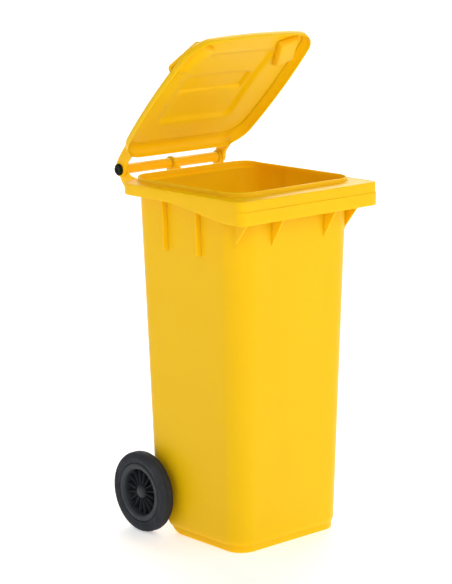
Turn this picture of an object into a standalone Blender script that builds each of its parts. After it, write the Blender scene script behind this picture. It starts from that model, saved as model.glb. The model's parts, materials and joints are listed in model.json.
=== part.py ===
"""An 80 litre two-wheeled wheelie bin, with its lid standing half open.

Metres, +Z up.  The front faces -Y, the wheels and the lid hinge are at +Y, and the bin is symmetric about
X = 0.  The origin is on the floor, under the middle of the bin's overall width and depth.
"""
import math

import bmesh
import bpy
from mathutils import Matrix, Vector

COLLECTION = "wheelie_bin"

# Overall sizes
WIDTH = 0.445
DEPTH = 0.525
GAP = 0.0003

# Body: each plan outline is (half width, front y, rear y, front corner radius, rear corner radius)
WALL = 0.004
FOOT = (0.1645, -0.1815, 0.1440, 0.045, 0.045)
WALL_BOTTOM = (0.1700, -0.1870, 0.1490, 0.052, 0.050)
WALL_TOP = (0.1915, -0.2180, 0.1670, 0.065, 0.052)
RIM = (WIDTH / 2, -DEPTH / 2, 0.1870, 0.022, 0.050)
COLLAR = (0.1915, -0.2180, 0.1750, 0.062, 0.052)
FOOT_HEIGHT = 0.0165
WALL_START = 0.030
FLANGE_TOP = 0.8651
FLANGE_UNDER = FLANGE_TOP - WALL
COLLAR_TOP = 0.8760
COLLAR_REAR_RISE = 0.0025
SKIRT_REAR_BOTTOM = 0.8375
SKIRT_FRONT_BOTTOM = 0.8090
SKIRT_STEP_Z = 0.8400
SKIRT_STEP = 0.0013

# Fins under the rim
FIN = 0.0040
FIN_TOP = FLANGE_UNDER + 0.0010
FRONT_GUSSET_X = 0.0840
SIDE_RIB_Y = (0.0395, -0.0795)
SIDE_RIB_ROOT = 0.1885
SIDE_RIB_DEPTH = 0.0155

# Hinge and handle bar
HINGE_Y = 0.2445
HINGE_Z = 0.8825
BAR_RADIUS = 0.0125
EAR_RADIUS = 0.0165
EAR_INNER = 0.1490
EAR_OUTER = 0.1545
EAR_FOOT = 0.8355
EAR_FRONT = [(0.2275, 0.8780), (0.2255, 0.8745), (0.2215, 0.8710), (0.2165, 0.8685), (0.2100, 0.8665),
             (0.1960, 0.8645)]
WEB_HALF = 0.0050
WEB_FOOT = 0.8385
WEB_FRONT = [(0.2225, 0.8865), (0.2160, 0.8785), (0.2100, 0.8715), (0.2040, 0.8675), (0.1960, 0.8645)]
ARM_INNER = 0.1560
ARM_OUTER = 0.1650
ARM_RADIUS = 0.0180
PIN_RADIUS = 0.0080
PIN_HEAD_RADIUS = 0.0145
PIN_HEAD = 0.0060
PIN_TIP = 0.1380
LID_OPEN = math.radians(45.0)

# Axle and wheels
AXLE_Y = 0.1270
WHEEL_RADIUS = 0.1000
AXLE_RADIUS = 0.0100
AXLE_HALF = 0.2130
TYRE_WIDTH = 0.0340
WHEEL_OUTER = WIDTH / 2
BRACKET_INNER = 0.1280
BRACKET_OUTER = 0.1680
NOTCH_FRONT = 0.0840
NOTCH_TOP = 0.1500
NOTCH_HEEL = 0.0450
NOTCH_FILLET = 0.0300


# ---------------------------------------------------------------- scene helpers

def clear_scene():
    for obj in list(bpy.data.objects):
        bpy.data.objects.remove(obj, do_unlink=True)


def new_collection(name):
    collection = bpy.data.collections.new(name)
    bpy.context.scene.collection.children.link(collection)
    return collection


def linear(channel):
    c = channel / 255
    return c / 12.92 if c <= 0.04045 else ((c + 0.055) / 1.055) ** 2.4


def material(name, rgb, roughness, metallic=0.0):
    mat = bpy.data.materials.new(name)
    mat.use_nodes = True
    shader = mat.node_tree.nodes["Principled BSDF"]
    colour = tuple(linear(c) for c in rgb) + (1.0,)
    shader.inputs["Base Color"].default_value = colour
    shader.inputs["Roughness"].default_value = roughness
    shader.inputs["Metallic"].default_value = metallic
    mat.diffuse_color = colour
    return mat


def new_object(name, mesh, collection, mat=None, parent=None):
    obj = bpy.data.objects.new(name, mesh)
    collection.objects.link(obj)
    obj.parent = parent
    if mat:
        mesh.materials.append(mat)
    return obj


def cutter(name, mesh, parent=None):
    """A helper solid: it shapes another object and isn't a part itself."""
    obj = new_object(name, mesh, CUTTERS, parent=parent)
    obj.hide_render = True
    obj.display_type = "WIRE"
    return obj


def combine(obj, helper, operation):
    modifier = obj.modifiers.new(operation.lower() + "_" + helper.name, "BOOLEAN")
    modifier.operation = operation
    modifier.solver = "EXACT"
    modifier.object = helper


# ---------------------------------------------------------------- shape helpers

def arc(cx, cy, radius, start, end, steps):
    """Points on a circle arc, both ends included, angles in degrees."""
    angles = [math.radians(start + (end - start) * i / steps) for i in range(steps + 1)]
    return [(cx + radius * math.cos(a), cy + radius * math.sin(a)) for a in angles]


def plan_outline(outline, inset=0.0, corner_steps=6, side_steps=8, end_steps=4):
    """A rounded rectangle in plan, anticlockwise from the front left, with extra points along each side."""
    half, front, rear, r_front, r_rear = outline
    half, front, rear = half - inset, front + inset, rear - inset
    r_front, r_rear = max(r_front - inset, 0.002), max(r_rear - inset, 0.002)
    corners = [arc(half - r_front, front + r_front, r_front, -90, 0, corner_steps),
               arc(half - r_rear, rear - r_rear, r_rear, 0, 90, corner_steps),
               arc(-half + r_rear, rear - r_rear, r_rear, 90, 180, corner_steps),
               arc(-half + r_front, front + r_front, r_front, 180, 270, corner_steps)]
    points = []
    for index, corner in enumerate(corners):
        points += corner
        steps = side_steps if index % 2 == 0 else end_steps
        start, end = Vector(corner[-1]), Vector(corners[(index + 1) % 4][0])
        points += [tuple(start.lerp(end, i / steps)) for i in range(1, steps)]
    return points


def level(points, height):
    """Lift a plan outline to a height, which may be a number or a function of the point."""
    if callable(height):
        return [(x, y, height(x, y)) for x, y in points]
    return [(x, y, height) for x, y in points]


def loft(name, rings, cap=True):
    """Join rings of points, bottom to top, into one surface, capped at both ends if cap is set."""
    mesh = bpy.data.meshes.new(name)
    bm = bmesh.new()
    rows = [[bm.verts.new(p) for p in ring] for ring in rings]
    for low, high in zip(rows, rows[1:]):
        for i in range(len(low)):
            j = (i + 1) % len(low)
            bm.faces.new((low[i], low[j], high[j], high[i]))
    if cap:
        bm.faces.new(reversed(rows[0]))
        bm.faces.new(rows[-1])
    bm.to_mesh(mesh)
    bm.free()
    return mesh


def plate(name, outline, thickness):
    """A flat plate in local XY, centred on its thickness, from a filled two-dimensional curve."""
    curve = bpy.data.curves.new(name, "CURVE")
    curve.dimensions = "2D"
    curve.fill_mode = "BOTH"
    curve.extrude = thickness / 2
    spline = curve.splines.new("POLY")
    spline.points.add(len(outline) - 1)
    for point, (x, y) in zip(spline.points, outline):
        point.co = (x, y, 0.0, 1.0)
    spline.use_cyclic_u = True
    guide = bpy.data.objects.new(name + "_outline", curve)
    CUTTERS.objects.link(guide)
    mesh = bpy.data.meshes.new_from_object(guide.evaluated_get(bpy.context.evaluated_depsgraph_get()))
    mesh.name = name
    bpy.data.objects.remove(guide)
    bm = bmesh.new()
    bm.from_mesh(mesh)
    bmesh.ops.remove_doubles(bm, verts=bm.verts, dist=0.00001)
    bmesh.ops.recalc_face_normals(bm, faces=bm.faces)
    bm.to_mesh(mesh)
    bm.free()
    return mesh


# Turns a plate drawn as (y, z) so that it stands in the YZ plane, with its thickness along X
ACROSS = Matrix(((0, 0, 1, 0), (1, 0, 0, 0), (0, 1, 0, 0), (0, 0, 0, 1)))


def side_plate(name, outline, x_low, x_high):
    """A plate whose (y, z) outline stands between two X positions."""
    mesh = plate(name, outline, x_high - x_low)
    mesh.transform(Matrix.Translation(((x_low + x_high) / 2, 0, 0)) @ ACROSS)
    return mesh


def rod(name, radius, x_low, x_high, y=0.0, z=0.0, segments=32):
    """A cylinder along X."""
    mesh = bpy.data.meshes.new(name)
    bm = bmesh.new()
    place = Matrix.Translation(((x_low + x_high) / 2, y, z)) @ Matrix.Rotation(math.pi / 2, 4, "Y")
    bmesh.ops.create_cone(bm, cap_ends=True, segments=segments, radius1=radius, radius2=radius,
                          depth=x_high - x_low, matrix=place)
    bm.to_mesh(mesh)
    bm.free()
    return mesh


def block(name, size, place):
    mesh = bpy.data.meshes.new(name)
    bm = bmesh.new()
    bmesh.ops.create_cube(bm, size=1.0, matrix=place @ Matrix.Diagonal((*size, 1.0)))
    bm.to_mesh(mesh)
    bm.free()
    return mesh


def turned(name, profile, mat, parent, steps=48):
    """A piece turned about its own Z axis from a closed (radius, z) profile."""
    mesh = bpy.data.meshes.new(name)
    count = len(profile)
    edges = [(i, (i + 1) % count) for i in range(count)]
    mesh.from_pydata([(r, 0.0, z) for r, z in profile], edges, [])
    obj = new_object(name, mesh, PARTS, mat, parent)
    screw = obj.modifiers.new("turn", "SCREW")
    screw.steps = steps
    screw.render_steps = steps
    screw.use_merge_vertices = True
    screw.merge_threshold = 0.00001
    screw.use_smooth_shade = True
    return obj


# ---------------------------------------------------------------- body

def skirt_bottom(x, y):
    """The skirt is shallow at the rear and along the sides, and deepens in a smooth curve to the front."""
    t = min(max((0.03 - y) / 0.27, 0.0), 1.0)
    t = t * t * (3 - 2 * t)
    return SKIRT_REAR_BOTTOM + (SKIRT_FRONT_BOTTOM - SKIRT_REAR_BOTTOM) * t


def collar_top(x, y):
    """The collar rises a little along the rear, between the hinge ears."""
    t = min(max((y - 0.12) / 0.04, 0.0), 1.0)
    return COLLAR_TOP + COLLAR_REAR_RISE * t * t * (3 - 2 * t)


def body_outer_rings():
    lower_rim = RIM
    upper_rim = (RIM[0], RIM[1] + SKIRT_STEP, *RIM[2:])
    return [level(plan_outline(FOOT, 0.0020), 0.0),
            level(plan_outline(FOOT), 0.0020),
            level(plan_outline(FOOT), FOOT_HEIGHT),
            level(plan_outline(WALL_BOTTOM, 0.0040), FOOT_HEIGHT + 0.0010),
            level(plan_outline(WALL_BOTTOM, 0.0012), FOOT_HEIGHT + 0.0055),
            level(plan_outline(WALL_BOTTOM), WALL_START),
            level(plan_outline(WALL_TOP), FLANGE_UNDER),
            level(plan_outline(lower_rim, WALL), FLANGE_UNDER),
            level(plan_outline(lower_rim, WALL - 0.0005), skirt_bottom),
            level(plan_outline(lower_rim), skirt_bottom),
            level(plan_outline(lower_rim), SKIRT_STEP_Z),
            level(plan_outline(upper_rim), SKIRT_STEP_Z + 0.0010),
            level(plan_outline(upper_rim), FLANGE_TOP - 0.0020),
            level(plan_outline(upper_rim, 0.0020), FLANGE_TOP),
            level(plan_outline(COLLAR, -0.0040), FLANGE_TOP),
            level(plan_outline(COLLAR, -0.0008), FLANGE_TOP + 0.0022),
            level(plan_outline(COLLAR), lambda x, y: collar_top(x, y) - 0.0022),
            level(plan_outline(COLLAR, 0.0014), collar_top),
            level(plan_outline(COLLAR, WALL + 0.0020), collar_top),
            level(plan_outline(COLLAR, WALL + 0.0020), FLANGE_TOP - 0.010)]


def body_cavity_rings():
    """The space inside the tub, from its floor to above the collar."""
    return [level(plan_outline(FOOT, 0.0160), 0.0060),
            level(plan_outline(FOOT, 0.0080), 0.0085),
            level(plan_outline(FOOT, 0.0045), 0.0150),
            level(plan_outline(WALL_BOTTOM, WALL + 0.0010), 0.0240),
            level(plan_outline(WALL_BOTTOM, WALL), 0.0340),
            level(plan_outline(WALL_TOP, WALL), FLANGE_UNDER),
            level(plan_outline(COLLAR, WALL), FLANGE_TOP + 0.0005),
            level(plan_outline(COLLAR, WALL), COLLAR_TOP + 0.030)]


def axle_notch(name, margin):
    """The space under the rear of the base for the axle, grown by margin into the body."""
    heel_y = NOTCH_FRONT - NOTCH_HEEL
    profile = [(0.30, NOTCH_TOP + margin), (0.30, -0.02), (heel_y, -0.02)]
    profile += arc(heel_y, NOTCH_HEEL, NOTCH_HEEL - margin, -90, 0, 8)
    profile += arc(NOTCH_FRONT + NOTCH_FILLET, NOTCH_TOP - NOTCH_FILLET, NOTCH_FILLET + margin, 180, 90, 6)
    return side_plate(name, profile, -0.25, 0.25)


def ear_outline(front, foot, last_angle):
    """A hinge ear in (y, z): a round boss on the hinge axis, drawn down and forward to the rear skirt."""
    inside_skirt = RIM[2] - WALL / 2
    rear = [(0.2410, 0.8400), (0.2490, 0.8490), (0.2540, 0.8580), (0.2580, 0.8650), (0.2605, 0.8740)]
    return (arc(HINGE_Y, HINGE_Z, EAR_RADIUS, 0, last_angle, 12) + front
            + [(inside_skirt, 0.8630), (inside_skirt, foot), (0.2370, foot)] + rear)


def front_gusset_outline():
    return [(-0.2585, FIN_TOP), (-0.2585, 0.8110), (-0.2150, 0.7420), (-0.2120, 0.7420), (-0.2150, FIN_TOP)]


def add_front_gussets(body):
    for side in (-1, 1):
        x = side * FRONT_GUSSET_X
        fin = side_plate("front_gusset", front_gusset_outline(), x - FIN / 2, x + FIN / 2)
        combine(body, cutter(fin.name, fin), "UNION")


def add_corner_gussets(body):
    """A fin on each front corner, standing at 45 degrees under the rim."""
    for side in (-1, 1):
        outline = [(0.0370, FIN_TOP), (0.0370, 0.8120), (0.0020, 0.7500), (-0.0030, 0.7500), (-0.0020, FIN_TOP)]
        fin = plate("corner_gusset", outline, FIN)
        root = (side * (WALL_TOP[0] - 0.0145), WALL_TOP[1] + 0.0265, 0)
        outward = Vector((side, -1, 0)).normalized()
        across = Vector((0, 0, 1)).cross(outward)
        turn = Matrix((outward, (0, 0, 1), across)).transposed().to_4x4()
        fin.transform(Matrix.Translation(root) @ turn)
        combine(body, cutter(fin.name, fin), "UNION")


def add_side_ribs(body):
    """Two upright ribs on each side, under the rim, each drawn as (distance from the wall, height)."""
    outline = [(-SIDE_RIB_DEPTH, FIN_TOP), (-SIDE_RIB_DEPTH, 0.7450), (-SIDE_RIB_DEPTH + 0.0035, 0.7200),
               (0.0, 0.7080), (0.0040, 0.7080), (0.0035, FIN_TOP)]
    for side in (-1, 1):
        for y in SIDE_RIB_Y:
            rib = plate("side_rib", outline, FIN)
            turn = Matrix(((-side, 0, 0, 0), (0, 0, side, 0), (0, 1, 0, 0), (0, 0, 0, 1)))
            rib.transform(Matrix.Translation((side * SIDE_RIB_ROOT, y, 0)) @ turn)
            flip_if_inside_out(rib)
            combine(body, cutter("side_rib", rib), "UNION")


def flip_if_inside_out(mesh):
    bm = bmesh.new()
    bm.from_mesh(mesh)
    bmesh.ops.recalc_face_normals(bm, faces=bm.faces)
    bm.to_mesh(mesh)
    bm.free()


def add_handle(body):
    ear = ear_outline(EAR_FRONT, EAR_FOOT, 180)
    for side in (-1, 1):
        low, high = sorted((side * EAR_INNER, side * EAR_OUTER))
        combine(body, cutter("hinge_ear", side_plate("hinge_ear", ear, low, high)), "UNION")
    web = side_plate("handle_web", ear_outline(WEB_FRONT, WEB_FOOT, 155), -WEB_HALF, WEB_HALF)
    combine(body, cutter("handle_web", web), "UNION")
    bar = rod("handle_bar", BAR_RADIUS, -EAR_INNER - 0.002, EAR_INNER + 0.002, HINGE_Y, HINGE_Z, 28)
    combine(body, cutter("handle_bar", bar), "UNION")


def add_axle_brackets(body):
    bottom = arc(AXLE_Y, WHEEL_RADIUS, 0.0200, 180, 360, 12)
    outline = bottom + [(AXLE_Y + 0.020, NOTCH_TOP + 0.003), (AXLE_Y - 0.020, NOTCH_TOP + 0.003)]
    spans = ((-BRACKET_OUTER, -BRACKET_INNER), (-WEB_HALF, WEB_HALF), (BRACKET_INNER, BRACKET_OUTER))
    for low, high in spans:
        mesh = side_plate("axle_bracket", outline, low, high)
        combine(body, cutter("axle_bracket", mesh), "UNION")


def build_body(mat):
    body = new_object("body", loft("body", body_outer_rings()), PARTS, mat)
    combine(body, cutter("axle_notch", axle_notch("axle_notch", 0.0)), "DIFFERENCE")
    add_front_gussets(body)
    add_corner_gussets(body)
    add_side_ribs(body)
    add_handle(body)
    add_axle_brackets(body)
    cavity = cutter("body_cavity", loft("body_cavity", body_cavity_rings()))
    combine(cavity, cutter("cavity_notch", axle_notch("cavity_notch", WALL)), "DIFFERENCE")
    combine(body, cavity, "DIFFERENCE")
    axle_hole = rod("axle_hole", AXLE_RADIUS + 0.0004, -0.20, 0.20, AXLE_Y, WHEEL_RADIUS, 32)
    combine(body, cutter("axle_hole", axle_hole), "DIFFERENCE")
    for side in (-1, 1):
        low, high = sorted((side * (PIN_TIP - 0.001), side * 0.16))
        hole = rod("pin_hole", PIN_RADIUS + 0.0004, low, high, HINGE_Y, HINGE_Z, 24)
        combine(body, cutter("pin_hole", hole), "DIFFERENCE")
    return body


# ---------------------------------------------------------------- lid, drawn closed about its hinge axis

LID_SHELL = 0.0035
LID_HALF = 0.190
LID_FRONT = -0.460
LID_REAR = -0.0465
LID_FREE_EDGE = -0.0050
LID_TOP = 0.0215
LID_SHOULDER = 0.0225
LID_CROWN = 0.010
STRIP_TOP = 0.0420
POCKET_TURN = math.radians(23)
POCKET_CENTRE = (0.150, -0.390)

# Grip trays and the spaces in them, low end then high end: (outward from, to, along from, to, height)
TRAY = ((-0.0290, 0.0170, -0.0410, 0.0410, 0.0045), (-0.0350, 0.0270, -0.0480, 0.0510, 0.0185))
TRAY_VOID = ((-0.0255, 0.0135, -0.0340, 0.0370, 0.0080), (-0.0330, 0.0245, -0.0370, 0.0490, 0.0340))
GRIP_OUTWARD = 0.0185
GRIP_FEET = (-0.0385, 0.0560)
GRIP_SIZE = (0.0100, 0.0080)
GRIP_UNDER = 0.0235


def lid_point(x, y):
    """Bow a point of the lid's plan outline: the long sides and the front edge swell outwards."""
    middle, half_length = (LID_FRONT + LID_REAR) / 2, (LID_REAR - LID_FRONT) / 2
    along = (y - middle) / half_length
    bowed_x = x * (1 + 0.084 * max(1 - along * along, 0.0))
    bowed_y = y - 0.012 * max(-along, 0.0) * max(1 - (x / LID_HALF) ** 2, 0.0)
    return bowed_x, bowed_y


def lid_outline(inset):
    outline = (LID_HALF, LID_FRONT, LID_REAR, 0.055, 0.062)
    return [lid_point(x, y) for x, y in plan_outline(outline, inset)]


def lid_surface(x, y):
    """Height of the lid's gently crowned top."""
    middle, half_length = (LID_FRONT + LID_REAR) / 2, (LID_REAR - LID_FRONT) / 2
    along = min(abs((y - middle) / half_length), 1.0)
    across = min(abs(x / 0.206), 1.0)
    return LID_TOP + LID_CROWN * ((1 - along ** 2) * (1 - across ** 2)) ** 2


def raised(height):
    return lambda x, y: lid_surface(x, y) + height


def shoulder_rings(depth):
    """The lid's rounded edge, or a skin lying at a depth inside it, from its skirt to its top."""
    radius = LID_SHOULDER - depth
    rings = []
    for degrees in (0, 22, 40, 56, 72, 90):
        a = math.radians(degrees)
        rise = radius * math.sin(a) - LID_SHOULDER
        rings.append(level(lid_outline(depth + radius * (1 - math.cos(a))), raised(rise)))
    return rings


def lid_shell(parent, mat):
    """The lid's outer skin, rim to middle, thickened inwards."""
    panel = (0.124, -0.394, -0.134, 0.018, 0.030)
    strip = (0.104, -0.300, -0.236, 0.010, 0.010)
    rings = [level(lid_outline(0.0), LID_FREE_EDGE)] + shoulder_rings(0.0)
    rings += [level(lid_outline(0.0320), lid_surface),
              level(plan_outline(panel), lid_surface),
              level(plan_outline(panel, 0.012), raised(0.007)),
              level(plan_outline(strip), raised(0.007)),
              level(plan_outline(strip, 0.006), STRIP_TOP)]
    mesh = loft("lid", rings, cap=False)
    bm = bmesh.new()
    bm.from_mesh(mesh)
    bm.verts.ensure_lookup_table()
    count = len(rings[0])
    bm.faces.new([bm.verts[len(bm.verts) - count + i] for i in range(count)])
    bm.to_mesh(mesh)
    bm.free()
    lid = new_object("lid", mesh, PARTS, mat, parent)
    solidify = lid.modifiers.new("thickness", "SOLIDIFY")
    solidify.thickness = LID_SHELL
    solidify.offset = -1.0
    solidify.use_even_offset = True
    return lid


def pocket_place(side, along, outward, z):
    """A position measured from a grip pocket's centre, along it and outward from it."""
    turn = Matrix.Rotation(side * POCKET_TURN * -1, 4, "Z")
    centre = Matrix.Translation((side * POCKET_CENTRE[0], POCKET_CENTRE[1], z))
    return centre @ turn @ Matrix.Translation((side * outward, along, 0))


def tapered_block(name, ends, place):
    """A block whose low and high ends differ: each is (x from, to, y from, to, height)."""
    mesh = bpy.data.meshes.new(name)
    bm = bmesh.new()
    bmesh.ops.create_cube(bm, size=1.0)
    for vert in bm.verts:
        end = ends[0] if vert.co.z < 0 else ends[1]
        vert.co = (end[0] if vert.co.x < 0 else end[1], end[2] if vert.co.y < 0 else end[3], end[4])
    bmesh.ops.transform(bm, matrix=place, verts=bm.verts)
    bm.to_mesh(mesh)
    bm.free()
    return mesh


def mirrored_ends(ends, side):
    """The same tapered block seen from the other side of the lid."""
    return [(*sorted((side * low, side * high)), *rest) for low, high, *rest in ends]


def add_grips(lid, parent):
    """Each grip is a tray sunk into a front corner, with a raised bar on two feet across it."""
    width, height = GRIP_SIZE
    low_foot, high_foot = GRIP_FEET
    for side in (-1, 1):
        place = pocket_place(side, 0, 0, 0)
        tray = tapered_block("grip_tray", mirrored_ends(TRAY, side), place)
        combine(lid, cutter("grip_tray", tray, parent), "UNION")
        void = tapered_block("grip_void", mirrored_ends(TRAY_VOID, side), place)
        combine(lid, cutter("grip_void", void, parent), "DIFFERENCE")
        middle = pocket_place(side, (low_foot + high_foot) / 2, GRIP_OUTWARD, GRIP_UNDER + height / 2)
        bar = block("grip_bar", (width, high_foot - low_foot + 0.0080, height), middle)
        combine(lid, cutter("grip_bar", bar, parent), "UNION")
        for along in GRIP_FEET:
            base = pocket_place(side, along, GRIP_OUTWARD, 0.0235)
            foot = block("grip_foot", (width - 0.0006, 0.0074, 0.0095), base)
            combine(lid, cutter("grip_foot", foot, parent), "UNION")


def add_lid_arms(lid, parent):
    """Two arms from the hinge to the lid's rear corners, ended inside its skin."""
    outline = arc(0.0, 0.0, ARM_RADIUS, -135, 75, 14)
    outline += [(-0.0170, 0.0225), (-0.0360, 0.0250), (-0.0600, 0.0268), (-0.0800, 0.0195), (-0.0800, 0.0080),
                (-0.0640, -0.0045), (-0.0300, -0.0055), (-0.0200, -0.0095)]
    inside = loft("lid_inside", [level(lid_outline(0.0030), -0.0300)] + shoulder_rings(0.0030))
    space = cutter("lid_inside", inside, parent)
    for side in (-1, 1):
        low, high = sorted((side * ARM_INNER, side * ARM_OUTER))
        arm = cutter("lid_arm", side_plate("lid_arm", outline, low, high), parent)
        combine(arm, space, "DIFFERENCE")
        combine(lid, arm, "UNION")
        hole = rod("arm_hole", PIN_RADIUS + 0.0004, low - 0.01, high + 0.01, segments=24)
        combine(lid, cutter("arm_hole", hole, parent), "DIFFERENCE")


def build_lid(mat, parent):
    lid = lid_shell(parent, mat)
    add_grips(lid, parent)
    add_lid_arms(lid, parent)
    return lid


def build_hinge_pins(mat, parent):
    head = ARM_OUTER + GAP
    profile = [(0.0, head + PIN_HEAD), (PIN_HEAD_RADIUS - 0.0015, head + PIN_HEAD),
               (PIN_HEAD_RADIUS, head + PIN_HEAD - 0.0015), (PIN_HEAD_RADIUS, head), (PIN_RADIUS, head),
               (PIN_RADIUS, PIN_TIP + 0.001), (PIN_RADIUS - 0.001, PIN_TIP), (0.0, PIN_TIP)]
    for name, side in (("hinge_pin_left", -1), ("hinge_pin_right", 1)):
        pin = turned(name, profile, mat, parent, steps=24)
        pin.rotation_euler = (0, side * math.pi / 2, 0)


# ---------------------------------------------------------------- wheels, turned about Z and laid along X

def build_wheel(side, label, mats):
    centre = bpy.data.objects.new("wheel_centre_" + label, None)
    PARTS.objects.link(centre)
    centre.location = (0, AXLE_Y, WHEEL_RADIUS)
    centre.rotation_euler = (0, side * math.pi / 2, 0)
    out, inn = WHEEL_OUTER, WHEEL_OUTER - TYRE_WIDTH
    tyre = [(0.0975, out - 0.0015), (0.0995, out - 0.0050), (WHEEL_RADIUS, out - 0.0100),
            (WHEEL_RADIUS, inn + 0.0100), (0.0995, inn + 0.0050), (0.0975, inn + 0.0015),
            (0.0900, inn), (0.0760, inn + 0.0010), (0.0733, inn + 0.0030), (0.0733, out - 0.0030),
            (0.0760, out - 0.0010), (0.0900, out)]
    turned("tyre_" + label, tyre, mats["rubber"], centre, steps=48)
    build_hub(label, mats["hub"], centre)
    bush = [(0.0130, 0.2050), (0.0130, 0.1720), (0.0104, 0.1720), (0.0104, 0.2050)]
    turned("hub_bush_" + label, bush, mats["bush"], centre, steps=32)
    washer = [(0.0170, BRACKET_OUTER + 0.0028), (0.0170, BRACKET_OUTER + GAP),
              (0.0104, BRACKET_OUTER + GAP), (0.0104, BRACKET_OUTER + 0.0028)]
    turned("axle_washer_" + label, washer, mats["steel"], centre, steps=32)
    clip = [(0.0140, 0.2100), (0.0150, 0.2085), (0.0150, 0.2075), (0.0104, 0.2075), (0.0104, 0.2085),
            (0.0120, 0.2100)]
    turned("retaining_clip_" + label, clip, mats["steel"], centre, steps=24)
    cap = [(0.0, 0.2190), (0.0100, 0.2185), (0.0150, 0.2170), (0.0165, 0.2150), (0.0165, 0.2140),
           (0.0, 0.2140)]
    turned("hub_cap_" + label, cap, mats["hub"], centre, steps=32)


def build_hub(label, mat, parent):
    out, inn = WHEEL_OUTER, WHEEL_OUTER - TYRE_WIDTH
    profile = [(0.0730, out - 0.0032), (0.0730, inn + 0.0032), (0.0700, inn + 0.0010), (0.0650, inn + 0.0010),
               (0.0600, 0.1960), (0.0200, 0.1960), (0.0190, BRACKET_OUTER + 0.0031),
               (0.0133, BRACKET_OUTER + 0.0031), (0.0133, 0.2053), (0.0155, 0.2053), (0.0155, 0.2137),
               (0.0185, 0.2137), (0.0190, 0.1995), (0.0560, 0.1995), (0.0580, out - 0.0060),
               (0.0620, out - 0.0020), (0.0700, out - 0.0010)]
    hub = turned("wheel_hub_" + label, profile, mat, parent, steps=48)
    for index in range(16):
        angle = 2 * math.pi * (index + 0.5) / 16
        place = Matrix.Rotation(angle, 4, "Z") @ Matrix.Translation((0.0380, 0, 0.2055))
        rib = block("hub_rib", (0.0400, 0.0018, 0.0140), place)
        combine(hub, cutter("hub_rib", rib, parent), "UNION")


def build_axle(mat):
    axle = new_object("axle", rod("axle", AXLE_RADIUS, -AXLE_HALF, AXLE_HALF, segments=32), PARTS, mat)
    axle.location = (0, AXLE_Y, WHEEL_RADIUS)
    bevel = axle.modifiers.new("chamfer", "BEVEL")
    bevel.width = 0.001
    bevel.segments = 1
    bevel.limit_method = "ANGLE"
    bevel.angle_limit = math.radians(60)


def main():
    yellow = material("yellow_plastic", (252, 202, 32), 0.42)
    black = material("black_plastic", (24, 26, 24), 0.45)
    mats = {"rubber": material("black_rubber", (44, 46, 50), 0.75),
            "hub": material("dark_grey_plastic", (52, 55, 60), 0.55),
            "bush": material("white_nylon", (215, 213, 205), 0.50),
            "steel": material("zinc_plated_steel", (176, 180, 184), 0.35, 1.0)}
    build_body(yellow)
    hinge = bpy.data.objects.new("lid_hinge_axis", None)
    PARTS.objects.link(hinge)
    hinge.location = (0, HINGE_Y, HINGE_Z)
    hinge.rotation_euler = (-LID_OPEN, 0, 0)
    build_lid(yellow, hinge)
    build_hinge_pins(black, hinge)
    build_axle(mats["steel"])
    for side, label in ((-1, "left"), (1, "right")):
        build_wheel(side, label, mats)


clear_scene()
PARTS = new_collection(COLLECTION)
CUTTERS = new_collection("cutters")
main()
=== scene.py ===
"""The looks of a yellow two-wheeled wheelie bin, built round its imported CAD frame.

Metres, +Z up.  The front faces -Y, the wheels and the lid hinge are at +Y, and the bin is
symmetric about X = 0.  Each plan outline is (half width, front y, rear y, front corner radius,
rear corner radius).
"""
import json
import math

import bmesh
import bpy
from mathutils import Matrix, Vector


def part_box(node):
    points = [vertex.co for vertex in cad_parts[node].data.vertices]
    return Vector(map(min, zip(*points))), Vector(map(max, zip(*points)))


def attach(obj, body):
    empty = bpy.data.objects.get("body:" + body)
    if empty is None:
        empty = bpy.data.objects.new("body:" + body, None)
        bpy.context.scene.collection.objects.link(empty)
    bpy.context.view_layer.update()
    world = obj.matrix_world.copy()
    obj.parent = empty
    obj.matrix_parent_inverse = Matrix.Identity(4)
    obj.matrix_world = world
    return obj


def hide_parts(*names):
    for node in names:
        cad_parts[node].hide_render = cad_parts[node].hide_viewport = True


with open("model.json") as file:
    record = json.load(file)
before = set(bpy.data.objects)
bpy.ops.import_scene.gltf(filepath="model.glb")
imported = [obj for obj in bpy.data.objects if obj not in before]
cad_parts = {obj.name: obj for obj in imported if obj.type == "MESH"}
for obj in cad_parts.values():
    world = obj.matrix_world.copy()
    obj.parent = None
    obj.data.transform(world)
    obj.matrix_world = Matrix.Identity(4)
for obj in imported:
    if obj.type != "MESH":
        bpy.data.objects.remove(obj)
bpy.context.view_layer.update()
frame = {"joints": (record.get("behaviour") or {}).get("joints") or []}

# ---------------------------------------------------------------- sizes, from the frame where it has them

BODY_LOW, BODY_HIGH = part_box("body")
JOINTS = {joint["name"]: joint for joint in frame["joints"]}
HINGE_Y, HINGE_Z = JOINTS["lid_hinge"]["pos_m"][1:]
AXLE_Y, AXLE_Z = JOINTS["wheel_left_spin"]["pos_m"][1:]
LID_OPEN = math.radians(45.0)

RIM_HALF = BODY_HIGH.x
RIM_FRONT = BODY_LOW.y
WALL = 0.004
FOOT = (0.1645, -0.1815, 0.1440, 0.045, 0.045)
WALL_BOTTOM = (0.1700, -0.1870, 0.1490, 0.052, 0.050)
WALL_TOP = (0.1915, -0.2180, 0.1670, 0.065, 0.052)
RIM = (RIM_HALF, RIM_FRONT, 0.1870, 0.022, 0.050)
COLLAR = (0.1915, -0.2180, 0.1750, 0.062, 0.052)
WALL_START = 0.030
FLANGE_TOP = 0.8651
FLANGE_UNDER = FLANGE_TOP - WALL
COLLAR_TOP = 0.8760
COLLAR_REAR_RISE = 0.0025
SKIRT_REAR_BOTTOM = 0.8375
SKIRT_FRONT_BOTTOM = 0.8090
SKIRT_STEP_Z = 0.8400
SKIRT_STEP = 0.0018

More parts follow.
